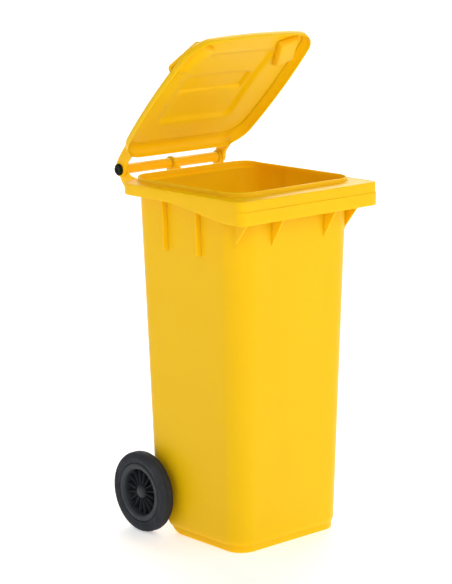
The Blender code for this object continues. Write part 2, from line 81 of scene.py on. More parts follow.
BAR_RADIUS = 0.0125
EAR_RADIUS = 0.0165
EAR_INNER = 0.1490
EAR_OUTER = 0.1545
EAR_FOOT = 0.8355
EAR_FRONT = [(0.2278, 0.8790), (0.2268, 0.8765), (0.2248, 0.8738), (0.2215, 0.8710), (0.2165, 0.8685),
             (0.2100, 0.8668), (0.2020, 0.8656), (0.1960, 0.8645)]
WEB_HALF = 0.0050
WEB_FOOT = 0.8385
WEB_FRONT = [(0.2258, 0.8902), (0.2225, 0.8862), (0.2190, 0.8820), (0.2150, 0.8772), (0.2110, 0.8728),
             (0.2060, 0.8690), (0.2010, 0.8664), (0.1960, 0.8645)]
ARM_INNER = 0.1560
ARM_OUTER = 0.1650
ARM_RADIUS = 0.0180
PIN_TIP = 0.1380

NOTCH_FRONT = 0.0840
NOTCH_TOP = 0.1500
NOTCH_HEEL = 0.0450
NOTCH_FILLET = 0.0300
LEDGE_CORNER = 0.0100

BRACKET_INNER = 0.1280
BRACKET_OUTER = 0.1680
AXLE_RADIUS = 0.0100
WHEEL_OUTER = RIM_HALF
WHEEL_RADIUS = AXLE_Z
TYRE_WIDTH = 0.0340


# ---------------------------------------------------------------- mesh helpers

def clamp(value, low=0.0, high=1.0):
    return min(max(value, low), high)


def smoothstep(value):
    t = clamp(value)
    return t * t * (3 - 2 * t)


def mix(a, b, t):
    return a + (b - a) * t


def arc(cx, cy, radius, start, end, steps):
    """Points on a circle arc, both ends included, angles in degrees."""
    angles = [math.radians(mix(start, end, i / steps)) for i in range(steps + 1)]
    return [(cx + radius * math.cos(a), cy + radius * math.sin(a)) for a in angles]


def plan_outline(outline, inset=0.0, corner_steps=14, side_steps=22, end_steps=14):
    """A rounded rectangle in plan, anticlockwise from the front left, with extra points along each side."""
    half, front, rear, r_front, r_rear = outline
    half, front, rear = half - inset, front + inset, rear - inset
    r_front, r_rear = max(r_front - inset, 0.0015), max(r_rear - inset, 0.0015)
    corners = [arc(half - r_front, front + r_front, r_front, -90, 0, corner_steps),
               arc(half - r_rear, rear - r_rear, r_rear, 0, 90, corner_steps),
               arc(-half + r_rear, rear - r_rear, r_rear, 90, 180, corner_steps),
               arc(-half + r_front, front + r_front, r_front, 180, 270, corner_steps)]
    points = []
    for index, corner in enumerate(corners):
        points += corner
        steps = side_steps if index % 2 == 0 else end_steps
        start, end = Vector(corner[-1]), Vector(corners[(index + 1) % 4][0])
        points += [tuple(start.lerp(end, i / steps)) for i in range(1, steps)]
    return points


def level(points, height):
    """Lift a plan outline to a height, which may be a number or a function of the point."""
    if callable(height):
        return [(x, y, height(x, y)) for x, y in points]
    return [(x, y, height) for x, y in points]


def mesh_from_rings(name, rings, cap_start=True, cap_end=True):
    """Join rings of points into one surface, with flat caps on its ends if they are asked for."""
    mesh = bpy.data.meshes.new(name)
    bm = bmesh.new()
    rows = [[bm.verts.new(p) for p in ring] for ring in rings]
    for low, high in zip(rows, rows[1:]):
        for i in range(len(low)):
            j = (i + 1) % len(low)
            bm.faces.new((low[i], low[j], high[j], high[i]))
    if cap_start:
        bm.faces.new(reversed(rows[0]))
    if cap_end:
        bm.faces.new(rows[-1])
    bmesh.ops.recalc_face_normals(bm, faces=bm.faces)
    bm.to_mesh(mesh)
    bm.free()
    return mesh


def shade(mesh, angle=40):
    mesh.shade_smooth()
    mesh.set_sharp_from_angle(angle=math.radians(angle))


def piece(name, mesh, mat, body, angle=40):
    """A shown piece: it gets its material, and rides on a CAD body."""
    shade(mesh, angle)
    obj = bpy.data.objects.new(name, mesh)
    bpy.context.scene.collection.objects.link(obj)
    mesh.materials.clear()
    mesh.materials.append(mat)
    if body:
        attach(obj, body)
    return obj


def offset_outline(points, distance):
    """Move a closed outline inwards by a small distance, keeping its number of points."""
    area = sum(a[0] * b[1] - b[0] * a[1] for a, b in zip(points, points[1:] + points[:1]))
    sign = 1.0 if area > 0 else -1.0
    moved = []
    for i, point in enumerate(points):
        here, before, after = Vector(point), Vector(points[i - 1]), Vector(points[(i + 1) % len(points)])
        n1 = Vector((-(here - before).y, (here - before).x)).normalized() * sign
        n2 = Vector((-(after - here).y, (after - here).x)).normalized() * sign
        normal = (n1 + n2).normalized()
        moved.append(tuple(here + normal * distance / max(normal.dot(n1), 0.5)))
    return moved


def rounded_corners(points, radius, steps=4):
    """Round the corners of a closed outline."""
    rounded = []
    for i, point in enumerate(points):
        here, before, after = Vector(point), Vector(points[i - 1]), Vector(points[(i + 1) % len(points)])
        to_before, to_after = (before - here), (after - here)
        reach = min(radius, to_before.length * 0.45, to_after.length * 0.45)
        start = here + to_before.normalized() * reach
        end = here + to_after.normalized() * reach
        for k in range(steps + 1):
            t = k / steps
            rounded.append(tuple(start * (1 - t) ** 2 + here * 2 * t * (1 - t) + end * t ** 2))
    return rounded


def rounded_plate(name, outline, x_low, x_high, edge=0.0012, steps=3):
    """A plate standing in the YZ plane between two X positions, with all its edges rounded."""
    rings = [(x_low + edge * (1 - math.cos(math.pi / 2 * k / steps)),
              edge * (1 - math.sin(math.pi / 2 * k / steps))) for k in range(steps + 1)]
    rings += [(x_low + x_high - x, inset) for x, inset in reversed(rings)]
    loops = [[(x, y, z) for y, z in offset_outline(outline, inset)] for x, inset in rings]
    return mesh_from_rings(name, loops)


def turned(name, profile, steps=96):
    """A mesh turned about X from a closed (radius, x) profile, which may start and end on the axis."""
    mesh = bpy.data.meshes.new(name)
    bm = bmesh.new()
    rows = []
    for radius, x in profile:
        if radius < 1e-7:
            rows.append([bm.verts.new((x, 0, 0))])
            continue
        turn = [2 * math.pi * i / steps for i in range(steps)]
        rows.append([bm.verts.new((x, radius * math.cos(a), radius * math.sin(a))) for a in turn])
    closed = len(rows[0]) > 1
    pairs = list(zip(rows, rows[1:])) + ([(rows[-1], rows[0])] if closed else [])
    for low, high in pairs:
        for i in range(steps):
            j = (i + 1) % steps
            corners = [low[i % len(low)], low[j % len(low)], high[j % len(high)], high[i % len(high)]]
            unique = list(dict.fromkeys(corners))
            if len(unique) > 2:
                bm.faces.new(unique)
    bmesh.ops.recalc_face_normals(bm, faces=bm.faces)
    bm.to_mesh(mesh)
    bm.free()
    return mesh


def rounded_block(name, size, place, radius, segments=4):
    """A block with rounded edges, size in metres, placed by a matrix."""
    mesh = bpy.data.meshes.new(name)
    bm = bmesh.new()
    bmesh.ops.create_cube(bm, size=1.0, matrix=Matrix.Diagonal((*size, 1.0)))
    bmesh.ops.bevel(bm, geom=list(bm.edges), offset=radius, segments=segments, profile=0.5, affect="EDGES",
                    clamp_overlap=True)
    bmesh.ops.transform(bm, matrix=place, verts=bm.verts)
    bm.to_mesh(mesh)
    bm.free()
    return mesh


def joined(name, meshes):
    """One mesh from several, each kept as its own closed shell."""
    bm = bmesh.new()
    for mesh in meshes:
        bm.from_mesh(mesh)
    result = bpy.data.meshes.new(name)
    bm.to_mesh(result)
    bm.free()
    return result


def boolean(mesh, tool, operation):
    """The exact Boolean of two meshes, as a new mesh."""
    subject = bpy.data.objects.new("subject", mesh)
    other = bpy.data.objects.new("other", tool)
    for obj in (subject, other):
        bpy.context.scene.collection.objects.link(obj)
    modifier = subject.modifiers.new("cut", "BOOLEAN")
    modifier.operation = operation
    modifier.solver = "EXACT"
    modifier.object = other
    result = bpy.data.meshes.new_from_object(subject.evaluated_get(bpy.context.evaluated_depsgraph_get()))
    bpy.data.objects.remove(subject)
    bpy.data.objects.remove(other)
    return result


# ---------------------------------------------------------------- materials

def linear(channel):
    c = channel / 255
    return c / 12.92 if c <= 0.04045 else ((c + 0.055) / 1.055) ** 2.4


def colour(red, green, blue):
    return linear(red), linear(green), linear(blue), 1.0


class Shader:
    """A Principled material and short ways to add nodes to it."""

    def __init__(self, name, roughness, metallic=0.0, specular=0.5):
        self.material = bpy.data.materials.new(name)
        self.material.use_nodes = True
        self.nodes = self.material.node_tree.nodes
        self.links = self.material.node_tree.links
        self.principled = self.nodes["Principled BSDF"]
        self.principled.inputs["Roughness"].default_value = roughness
        self.principled.inputs["Metallic"].default_value = metallic
        self.principled.inputs["Specular IOR Level"].default_value = specular
        self.coords = self.nodes.new("ShaderNodeTexCoord").outputs["Object"]

    def stretched(self, scale):
        mapping = self.nodes.new("ShaderNodeMapping")
        mapping.inputs["Scale"].default_value = scale
        self.links.new(self.coords, mapping.inputs["Vector"])
        return mapping.outputs["Vector"]

    def noise(self, scale, detail=3.0, roughness=0.5, vector=None, distortion=0.0):
        node = self.nodes.new("ShaderNodeTexNoise")
        node.inputs["Scale"].default_value = scale
        node.inputs["Detail"].default_value = detail
        node.inputs["Roughness"].default_value = roughness
        node.inputs["Distortion"].default_value = distortion
        self.links.new(vector or self.coords, node.inputs["Vector"])
        return node.outputs["Fac"]

    def voronoi(self, scale, feature="F1"):
        node = self.nodes.new("ShaderNodeTexVoronoi")
        node.feature = feature
        node.inputs["Scale"].default_value = scale
        self.links.new(self.coords, node.inputs["Vector"])
        return node.outputs["Distance"]

    def span(self, value, low, high, to_low=0.0, to_high=1.0):
        node = self.nodes.new("ShaderNodeMapRange")
        for name, number in (("From Min", low), ("From Max", high), ("To Min", to_low), ("To Max", to_high)):
            node.inputs[name].default_value = number
        self.links.new(value, node.inputs["Value"])
        return node.outputs["Result"]

    def math(self, operation, a, b):
        node = self.nodes.new("ShaderNodeMath")
        node.operation = operation
        for socket, value in zip(node.inputs, (a, b)):
            if isinstance(value, (int, float)):
                socket.default_value = value
            else:
                self.links.new(value, socket)
        return node.outputs["Value"]

    def blend(self, factor, a, b):
        node = self.nodes.new("ShaderNodeMix")
        node.data_type = "RGBA"
        for index, value in ((0, factor), (6, a), (7, b)):
            socket = node.inputs[index]
            if isinstance(value, (int, float, tuple)):
                socket.default_value = value
            else:
                self.links.new(value, socket)
        return node.outputs[2]

    def bump(self, height, strength, distance, normal=None):
        node = self.nodes.new("ShaderNodeBump")
        node.inputs["Strength"].default_value = strength
        node.inputs["Distance"].default_value = distance
        self.links.new(height, node.inputs["Height"])
        if normal is not None:
            self.links.new(normal, node.inputs["Normal"])
        return node.outputs["Normal"]

    def finish(self, base=None, roughness=None, normal=None):
        for name, value in (("Base Color", base), ("Roughness", roughness), ("Normal", normal)):
            if isinstance(value, tuple):
                self.principled.inputs[name].default_value = value
            elif value is not None:
                self.links.new(value, self.principled.inputs[name])
        return self.material


def yellow_plastic():
    """Moulded polyethylene: a fine grain, a faint orange peel, soft flow marks and a few pale rubs."""
    s = Shader("yellow_plastic", 0.42, specular=0.14)
    flow = s.span(s.noise(5.0, 4.0, 0.55, s.stretched((1.0, 1.0, 0.35)), 0.6), 0.35, 0.68)
    base = s.blend(flow, colour(251, 193, 6), colour(252, 195, 9))
    specks = s.span(s.noise(420.0, 2.0), 0.60, 0.78, 0.0, 0.10)
    base = s.blend(specks, base, colour(236, 176, 14))
    rub_zone = s.span(s.noise(9.0, 3.0, 0.6), 0.56, 0.70)
    rubs = s.span(s.noise(75.0, 5.0, 0.7, s.stretched((1.0, 1.0, 0.12)), 1.2), 0.62, 0.76)
    rubs = s.math("MULTIPLY", s.math("MULTIPLY", rubs, rub_zone), 0.22)
    base = s.blend(rubs, base, colour(250, 208, 84))
    roughness = s.math("ADD", s.span(s.noise(26.0, 4.0), 0.3, 0.7, 0.36, 0.46), s.math("MULTIPLY", rubs, 0.8))
    s.principled.inputs["Subsurface Weight"].default_value = 0.5
    s.principled.inputs["Subsurface Radius"].default_value = (1.0, 0.95, 0.5)
    s.principled.inputs["Subsurface Scale"].default_value = 0.012
    peel = s.bump(s.noise(110.0, 2.0), 0.10, 0.0006)
    grain = s.bump(s.noise(1150.0, 2.0, 0.6), 0.16, 0.00025, peel)
    return s.finish(base, roughness, grain)


def black_plastic():
    """The hinge caps: near-black moulded plastic with a very fine texture."""
    s = Shader("black_plastic", 0.6, specular=0.12)
    base = s.blend(s.span(s.noise(60.0, 3.0), 0.35, 0.7), colour(8, 14, 2), colour(14, 22, 5))
    roughness = s.span(s.noise(90.0, 3.0), 0.3, 0.7, 0.44, 0.58)
    return s.finish(base, roughness, s.bump(s.noise(1500.0, 2.0), 0.20, 0.0002))


def black_rubber():
    """The tyres: matt grey-black rubber with a dusty bloom and a fine stipple."""
    s = Shader("black_rubber", 0.8, specular=0.22)
    dust = s.span(s.noise(22.0, 5.0, 0.65), 0.38, 0.72)
    base = s.blend(dust, colour(38, 41, 47), colour(51, 54, 60))
    specks = s.span(s.voronoi(330.0), 0.0, 0.22, 0.18, 0.0)
    base = s.blend(specks, base, colour(76, 78, 82))
    roughness = s.span(s.noise(70.0, 4.0), 0.3, 0.7, 0.66, 0.86)
    coarse = s.bump(s.noise(160.0, 3.0), 0.15, 0.0006)
    return s.finish(base, roughness, s.bump(s.noise(900.0, 3.0), 0.35, 0.0003, coarse))


def dark_grey_plastic():
    """The wheel hubs: dark grey plastic, a little shinier than the tyres."""
    s = Shader("dark_grey_plastic", 0.55, specular=0.30)
    base = s.blend(s.span(s.noise(30.0, 4.0), 0.35, 0.7), colour(39, 42, 48), colour(51, 54, 60))
    specks = s.span(s.noise(520.0, 2.0), 0.62, 0.80, 0.0, 0.25)
    base = s.blend(specks, base, colour(78, 81, 86))
    roughness = s.span(s.noise(45.0, 4.0), 0.3, 0.7, 0.44, 0.62)
    return s.finish(base, roughness, s.bump(s.noise(1000.0, 2.0), 0.22, 0.00025))


def white_nylon():
    s = Shader("white_nylon", 0.5, specular=0.45)
    base = s.blend(s.span(s.noise(120.0, 3.0), 0.35, 0.7), colour(222, 219, 208), colour(205, 201, 188))
    return s.finish(base, s.span(s.noise(80.0, 3.0), 0.3, 0.7, 0.42, 0.58),
                    s.bump(s.noise(900.0, 2.0), 0.15, 0.0002))


def zinc_plated_steel():
    """Zinc-plated steel: drawn along X, with cloudy patches of plating and a little dull oxide."""
    s = Shader("zinc_plated_steel", 0.34, metallic=1.0)
    cloudy = s.span(s.noise(55.0, 5.0, 0.65), 0.35, 0.7)
    base = s.blend(cloudy, colour(188, 192, 196), colour(150, 153, 154))
    oxide = s.span(s.noise(160.0, 4.0, 0.7), 0.62, 0.75, 0.0, 0.35)
    base = s.blend(oxide, base, colour(116, 108, 96))
    drawn = s.noise(900.0, 2.0, 0.5, s.stretched((0.03, 1.0, 1.0)))
    roughness = s.span(s.noise(75.0, 4.0), 0.3, 0.7, 0.28, 0.46)
    return s.finish(base, roughness, s.bump(drawn, 0.18, 0.0002))


def pale_floor():
    """Plain and nearly white. It gives off some light of its own, so that it stays white."""
    s = Shader("pale_floor", 0.85, specular=0.15)
    base = s.blend(s.span(s.noise(2.0, 3.0), 0.3, 0.7), colour(247, 247, 246), colour(250, 250, 249))
    s.principled.inputs["Emission Color"].default_value = (1.0, 1.0, 1.0, 1.0)
    s.principled.inputs["Emission Strength"].default_value = 0.40
    return s.finish(base, None, s.bump(s.noise(500.0, 2.0), 0.05, 0.0003))


# ---------------------------------------------------------------- the tub

def wall_shape(z):
    """The tub's plan outline at a height, on its straight tapered walls."""
    t = (z - WALL_START) / (FLANGE_UNDER - WALL_START)
    return tuple(mix(a, b, t) for a, b in zip(WALL_BOTTOM, WALL_TOP))


def notch_wall(z, margin):
    """Rear face of the tub in front of the axle, with the heel rounded under the base."""
    radius = NOTCH_HEEL - margin
    if z >= NOTCH_HEEL:
        return NOTCH_FRONT - margin
    return NOTCH_FRONT - NOTCH_HEEL + math.sqrt(max(radius ** 2 - (NOTCH_HEEL - z) ** 2, 0.0))


def cut_short(outline, rear):
    """The same outline, ended early at the notch, where its rear corners are tight."""
    half, front, old_rear, r_front, r_rear = outline
    t = clamp((rear - NOTCH_FRONT) / (old_rear - NOTCH_FRONT))
    return half, front, min(rear, old_rear), r_front, mix(LEDGE_CORNER, r_rear, t ** 1.3)


def ledge_ring(z_front, z_rear, rear, inset):
    """A ring that dips from one height at the front to another at the rear, over the axle notch."""
    outline = plan_outline(cut_short(wall_shape(z_front), rear + inset), inset)
    ring = []
    for x, y in outline:
        z = mix(z_front, z_rear, smoothstep((y - 0.010) / (NOTCH_FRONT - WALL - 0.012)))
        ring.append((x * wall_shape(z)[0] / wall_shape(z_front)[0], y, z))
    return ring


def base_rings(inset, steps, margin):
    """Rings from the foot to the top of the axle notch. Steps are (outline, extra inset, height)."""
    rings = []
    for outline, extra, z in steps:
        rear = notch_wall(z, margin) - max(extra, 0.0)
        shape = (outline[0], outline[1], rear + inset + extra, outline[3], LEDGE_CORNER + inset + extra)
        rings.append(level(plan_outline(shape, inset + extra), z))
    for z in (0.040, NOTCH_HEEL, 0.060, 0.080, 0.100):
        rings.append(level(plan_outline(cut_short(wall_shape(z), notch_wall(z, margin) + inset), inset), z))
    profile = arc(NOTCH_FRONT + NOTCH_FILLET, NOTCH_TOP - NOTCH_FILLET, NOTCH_FILLET + margin, 180, 90, 7)
    rear_wall = wall_shape(NOTCH_TOP)[2] - inset
    corner = 0.006 if margin == 0.0 else 0.003
    profile += [(mix(NOTCH_FRONT + NOTCH_FILLET, rear_wall - corner, t), NOTCH_TOP + margin)
                for t in (0.35, 0.7)]
    profile += arc(rear_wall - corner, NOTCH_TOP + margin + corner, corner, -90, 0, 5)
    for i, (y, z) in enumerate(profile):
        z_front = mix(0.115, 0.185, i / (len(profile) - 1))
        rings.append(ledge_ring(z_front, z, y, inset))
    rings.append(ledge_ring(0.200, 0.185, rear_wall + 0.0006, inset))
    return rings


def outer_base_steps():
    """The foot, the small step up to the wall, and the wall's rounded lower edge."""
    edge = [(FOOT, 0.0020 * (1 - math.sin(a)), 0.0020 * (1 - math.cos(a)))
            for a in (math.radians(d) for d in (0, 30, 60, 90))]
    foot = [(FOOT, 0.0, z) for z in (0.0050, 0.0090, 0.0130, 0.0157)]
    step = [(WALL_BOTTOM, inset, z) for inset, z in
            ((0.0049, 0.0164), (0.0040, 0.0170), (0.0028, 0.0185), (0.0017, 0.0208), (0.0008, 0.0240),
             (0.0002, 0.0280))]
    return edge + foot + step


def inner_base_steps():
    """The tub's floor and the rounded foot of its walls, from the floor upwards."""
    return [(FOOT, 0.0160, 0.0062), (FOOT, 0.0110, 0.0068), (FOOT, 0.0070, 0.0085), (FOOT, 0.0045, 0.0112),
            (FOOT, 0.0030, 0.0150), (WALL_BOTTOM, 0.0060, 0.0190), (WALL_BOTTOM, 0.0028, 0.0240),
            (WALL_BOTTOM, 0.0008, 0.0300)]


def skirt_bottom(x, y):
    """The skirt is shallow at the rear and along the sides, and deepens in a smooth curve to the front."""
    t = smoothstep((0.03 - y) / 0.27)
    return mix(SKIRT_REAR_BOTTOM, SKIRT_FRONT_BOTTOM, t)


def collar_top(x, y):
    return COLLAR_TOP + COLLAR_REAR_RISE * smoothstep((y - 0.12) / 0.04)


def raised(surface, height):
    return lambda x, y: surface(x, y) + height


def skirt_level(share, rise, above_step):
    """A height between the skirt's lower edge and its moulded step, never less than rise above the edge."""
    def height(x, y):
        low = skirt_bottom(x, y)
        return max(mix(low, SKIRT_STEP_Z, share) + above_step, low + rise)
    return height


def rim_rings():
    """The rolled rim: under the flange, down and up the skirt, over the flange and up the collar."""
    rim, stepped = RIM, (RIM[0], RIM[1] + SKIRT_STEP, *RIM[2:])
    rings = [level(plan_outline(WALL_TOP, inset), FLANGE_UNDER - drop) for inset, drop in
             ((0.0, 0.0040), (-0.0006, 0.0020), (-0.0020, 0.0006), (-0.0040, 0.0))]
    rings += [level(plan_outline(rim, inset), z) for inset, z in
              ((WALL + 0.0025, FLANGE_UNDER), (WALL + 0.0008, FLANGE_UNDER - 0.0006),
               (WALL, FLANGE_UNDER - 0.0024))]
    lip = WALL - 0.0007
    for degrees in (0, 30, 60, 90, 120, 150, 180):
        a = math.radians(degrees)
        inset = lip / 2 * (1 + math.cos(a))
        rings.append(level(plan_outline(rim, inset), raised(skirt_bottom, 0.0012 * (1 - math.sin(a)))))
    rings += [level(plan_outline(rim), raised(skirt_bottom, rise)) for rise in (0.0020, 0.0025)]
    steps = ((rim, 0.5, 0.0030, -0.0002), (rim, 1.0, 0.0034, -0.0002),
             (stepped, 1.0, 0.0038, 0.0001), (stepped, 1.0, 0.0044, 0.0008))
    for outline, share, rise, above_step in steps:
        rings.append(level(plan_outline(outline), skirt_level(share, rise, above_step)))
    rings += [level(plan_outline(stepped), 0.8500), level(plan_outline(stepped), FLANGE_TOP - 0.0030)]
    for degrees in (22, 45, 68, 90):
        a = math.radians(degrees)
        rings.append(level(plan_outline(stepped, 0.0030 * (1 - math.cos(a))),
                           FLANGE_TOP - 0.0030 * (1 - math.sin(a))))
    rings += [level(plan_outline(COLLAR, -inset), FLANGE_TOP + rise) for inset, rise in
              ((0.0060, 0.0), (0.0038, 0.0003), (0.0022, 0.0010), (0.0010, 0.0022), (0.0003, 0.0040))]
    rings.append(level(plan_outline(COLLAR), raised(collar_top, -0.0022)))
    for degrees in (30, 60, 90):
        a = math.radians(degrees)
        rings.append(level(plan_outline(COLLAR, 0.0016 * (1 - math.cos(a))),
                           raised(collar_top, -0.0022 + 0.0022 * math.sin(a))))
    for degrees in (0, 35, 65, 90):
        a = math.radians(degrees)
        rings.append(level(plan_outline(COLLAR, WALL - 0.0012 + 0.0012 * math.sin(a)),
                           raised(collar_top, -0.0016 * (1 - math.cos(a)))))
    return rings


def tub_mesh():
    """The one-piece tub: up the outside, over the rim, and down the inside to its floor."""
    outer = base_rings(0.0, outer_base_steps(), 0.0)
    for i in range(1, 15):
        z = mix(0.200, FLANGE_UNDER - 0.0060, i / 14)
        outer.append(level(plan_outline(wall_shape(z)), z))
    inner = base_rings(WALL, inner_base_steps(), WALL)
    for i in range(1, 15):
        z = mix(0.200, FLANGE_UNDER - 0.004, i / 14)
        inner.append(level(plan_outline(wall_shape(z), WALL), z))
    inner += [level(plan_outline(WALL_TOP, WALL), FLANGE_UNDER),
              level(plan_outline(COLLAR, WALL), FLANGE_TOP + 0.001)]
    return mesh_from_rings("tub", outer + rim_rings() + list(reversed(inner)))


def fin_mesh(name, foot, outward, depth, heights, fillet, tip=0.0010):
    """A moulded fin on a wall, with filleted roots.

    foot(z) is its root point, and depth(z) is how far it stands out there.
    """
    half_width = 0.0020
    across = Vector((-outward.y, outward.x))
    rings = []
    for z in heights:
        reach = max(depth(z), 0.0002)
        f = min(fillet, reach * 0.8)
        r = min(tip, half_width * 0.9, reach * 0.18)
        section = [(-half_width - f, -0.0012)]
        section += [(-half_width - f + f * math.cos(a), f + f * math.sin(a))
                    for a in (math.radians(d) for d in (-90, -60, -30, 0))]
        section += arc(-half_width + r, reach - r, r, 180, 90, 3)
        section += arc(half_width - r, reach - r, r, 90, 0, 3)
        section += [(half_width + f + f * math.cos(a), f + f * math.sin(a))
                    for a in (math.radians(d) for d in (180, 210, 240, 270))]
        section.append((half_width + f, -0.0012))
        root = Vector(foot(z))
        points = [root + across * a + outward * o for a, o in section]
        rings.append([(p.x, p.y, z) for p in points])
    return mesh_from_rings(name, rings)


def steps_between(low, high, count):
    return [mix(low, high, i / count) for i in range(count + 1)]


def front_gusset(side):
    """A triangular gusset that props the rim from the front wall."""
    low, high = 0.7420, 0.8110
    reach = WALL_TOP[1] - RIM_FRONT - WALL

    def foot(z):
        return side * 0.084, wall_shape(z)[1]

    def depth(z):
        return min((z - low) / (high - low), 1.0) * reach

    heights = steps_between(low, high, 14) + [0.830, FLANGE_UNDER + 0.001]
    return fin_mesh("front_gusset", foot, Vector((0, -1)), depth, heights, fillet=0.0018)


def corner_gusset(side):
    """A gusset that props the rim from the start of a front corner."""
    low, high = 0.7500, 0.8120

    def foot(z):
        half, front, _, radius, _ = wall_shape(z)
        turn = math.radians(37.3)
        return side * (half - radius + radius * math.cos(turn)), front + radius - radius * math.sin(turn)

    def depth(z):
        if z < low:
            return 0.0003
        return 0.0010 + min((z - low) / (high - low), 1.0) * 0.0480

    heights = steps_between(low - 0.004, high, 14) + [0.830, FLANGE_UNDER + 0.001]
    return fin_mesh("corner_gusset", foot, Vector((0, -1)), depth, heights, fillet=0.0018)


def side_rib(side, y):
    """An upright rib on a side wall: blunt at its foot, and flared out to the skirt at its top."""
    low, flare = 0.7120, 0.8240
    reach = RIM_HALF - WALL - 0.0010 - wall_shape(flare)[0]

    def depth(z):
        foot = smoothstep((z - low) / 0.0060)
        return mix(0.0132 * foot, reach, clamp((z - flare) / 0.0180) ** 2.2)

    heights = [low - 0.0060] + steps_between(low, low + 0.0060, 5) + [0.740, 0.780, 0.810]
    heights += steps_between(flare, flare + 0.0180, 8) + [FLANGE_UNDER + 0.001]
    return fin_mesh("side_rib", lambda z: (side * wall_shape(z)[0], y), Vector((side, 0)), depth, heights,
                    fillet=0.0016, tip=0.0007)


def ear_outline(front, foot, last_angle):
    """A hinge ear in (y, z): a round boss on the hinge axis, drawn down and forward to the rear skirt."""
    inside_skirt = RIM[2] - WALL / 2
    rear = [(0.2380, foot + 0.0008), (0.2410, 0.8400), (0.2450, 0.8443), (0.2490, 0.8490), (0.2520, 0.8534),
            (0.2546, 0.8580), (0.2572, 0.8632), (0.2592, 0.8690), (0.2604, 0.8750)]
    return (arc(HINGE_Y, HINGE_Z, EAR_RADIUS, 0, last_angle, 26) + front
            + [(inside_skirt, 0.8630), (inside_skirt, foot), (0.2350, foot)] + rear)


def handle_bar():
    """The tubular bar between the ears, flared where it meets them and its middle web."""
    half = []
    flare = 0.0022
    for x0, direction in ((WEB_HALF, 1), (EAR_INNER, -1)):
        bend = [(BAR_RADIUS + flare * (1 - math.sin(a)), x0 + direction * flare * (1 - math.cos(a)))
                for a in (math.radians(d) for d in (0, 30, 60, 90))]
        half += bend if direction > 0 else list(reversed(bend))
    profile = [(0.0, 0.0), (BAR_RADIUS + flare, 0.0)] + half
    profile += [(BAR_RADIUS + flare, EAR_INNER + 0.002), (0.0, EAR_INNER + 0.002)]
    right = turned("handle_bar", profile, 64)
    left = right.copy()
    left.transform(Matrix.Diagonal((-1, 1, 1, 1)))
    left.flip_normals()
    return [right, left]


def axle_bracket(low, high):
    outline = arc(AXLE_Y, AXLE_Z, 0.0200, 180, 360, 24)
    outline += [(AXLE_Y + 0.020, NOTCH_TOP + 0.003), (AXLE_Y - 0.020, NOTCH_TOP + 0.003)]
    return rounded_plate("axle_bracket", outline, low, high, 0.0015)


def build_tub(mat):
    piece("tub", tub_mesh(), mat, "bin", 32)
    fins = []
    for side in (-1, 1):
        fins += [front_gusset(side), corner_gusset(side)]
        fins += [side_rib(side, y) for y in (0.0395, -0.0795)]
    piece("rim_gussets", joined("rim_gussets", fins), mat, "bin", 40)
    ear = ear_outline(EAR_FRONT, EAR_FOOT, 180)
    plates = [rounded_plate("ear", ear, *sorted((side * EAR_INNER, side * EAR_OUTER))) for side in (-1, 1)]
    web = ear_outline(WEB_FRONT, WEB_FOOT, 150)
    plates.append(rounded_plate("web", web, -WEB_HALF, WEB_HALF, edge=0.0014))
    bars = handle_bar()
    for bar in bars:
        bar.transform(Matrix.Translation((0, HINGE_Y, HINGE_Z)))
    piece("handle", joined("handle", plates + bars), mat, "bin", 40)
    spans = ((-BRACKET_OUTER, -BRACKET_INNER), (-WEB_HALF, WEB_HALF), (BRACKET_INNER, BRACKET_OUTER))
    brackets = joined("axle_brackets", [axle_bracket(low, high) for low, high in spans])
    piece("axle_brackets", brackets, mat, "bin", 40)


# ---------------------------------------------------------------- the lid, drawn closed about its hinge axis

LID_SHELL = 0.0035
LID_HALF = 0.190
LID_FRONT = -0.460
LID_REAR = -0.0465
LID_FREE_EDGE = -0.0050
LID_TOP = 0.0215
LID_CROWN = 0.010
STRIP_TOP = 0.0420
LID_SHOULDER = 0.0225
LID_PLAN = (LID_HALF, LID_FRONT, LID_REAR, 0.055, 0.062)
PANEL = (0.124, -0.394, -0.134, 0.018, 0.030)
PANEL_RAMP = 0.0170
PANEL_RISE = 0.0070
STRIP = (0.104, -0.300, -0.236, 0.010, 0.010)
POCKET_TURN = math.radians(23)
POCKET_CENTRE = (0.150, -0.390)

# Grip trays and the spaces in them, low end then high end: (outward from, to, along from, to, height)
TRAY = ((-0.0290, 0.0170, -0.0410, 0.0410, 0.0045), (-0.0350, 0.0270, -0.0480, 0.0510, 0.0185))
TRAY_VOID = ((-0.0255, 0.0135, -0.0340, 0.0370, 0.0080), (-0.0330, 0.0245, -0.0370, 0.0490, 0.0340))
GRIP_OUTWARD = 0.0185
GRIP_FEET = (-0.0385, 0.0560)
GRIP_UNDER = 0.0235
GRIP_HEIGHT = 0.0080
GRIP_WIDTH = 0.0100

# The bead's plan outline, its half thickness, how far it hangs, and how much of that is in the skin
BEAD = (0.1750, -0.4450, -0.0750, 0.040, 0.046)
BEAD_HALF = 0.0014
BEAD_HANG = 0.0030
BEAD_SUNK = 0.0006


def bowed(x, y):
    """Bow a point of the lid's plan outline: the long sides and the front edge swell outwards."""
    middle, half_length = (LID_FRONT + LID_REAR) / 2, (LID_REAR - LID_FRONT) / 2
    along = (y - middle) / half_length
    bowed_x = x * (1 + 0.084 * max(1 - along * along, 0.0))
    bowed_y = y - 0.012 * max(-along, 0.0) * max(1 - (x / LID_HALF) ** 2, 0.0)
    return bowed_x, bowed_y


def lid_outline(inset, outline=LID_PLAN):
    return [bowed(x, y) for x, y in plan_outline(outline, inset)]


def lid_surface(x, y):
    """Height of the lid's gently crowned top."""
    middle, half_length = (LID_FRONT + LID_REAR) / 2, (LID_REAR - LID_FRONT) / 2
    along = min(abs((y - middle) / half_length), 1.0)
    across = min(abs(x / 0.206), 1.0)
    return LID_TOP + LID_CROWN * ((1 - along ** 2) * (1 - across ** 2)) ** 2


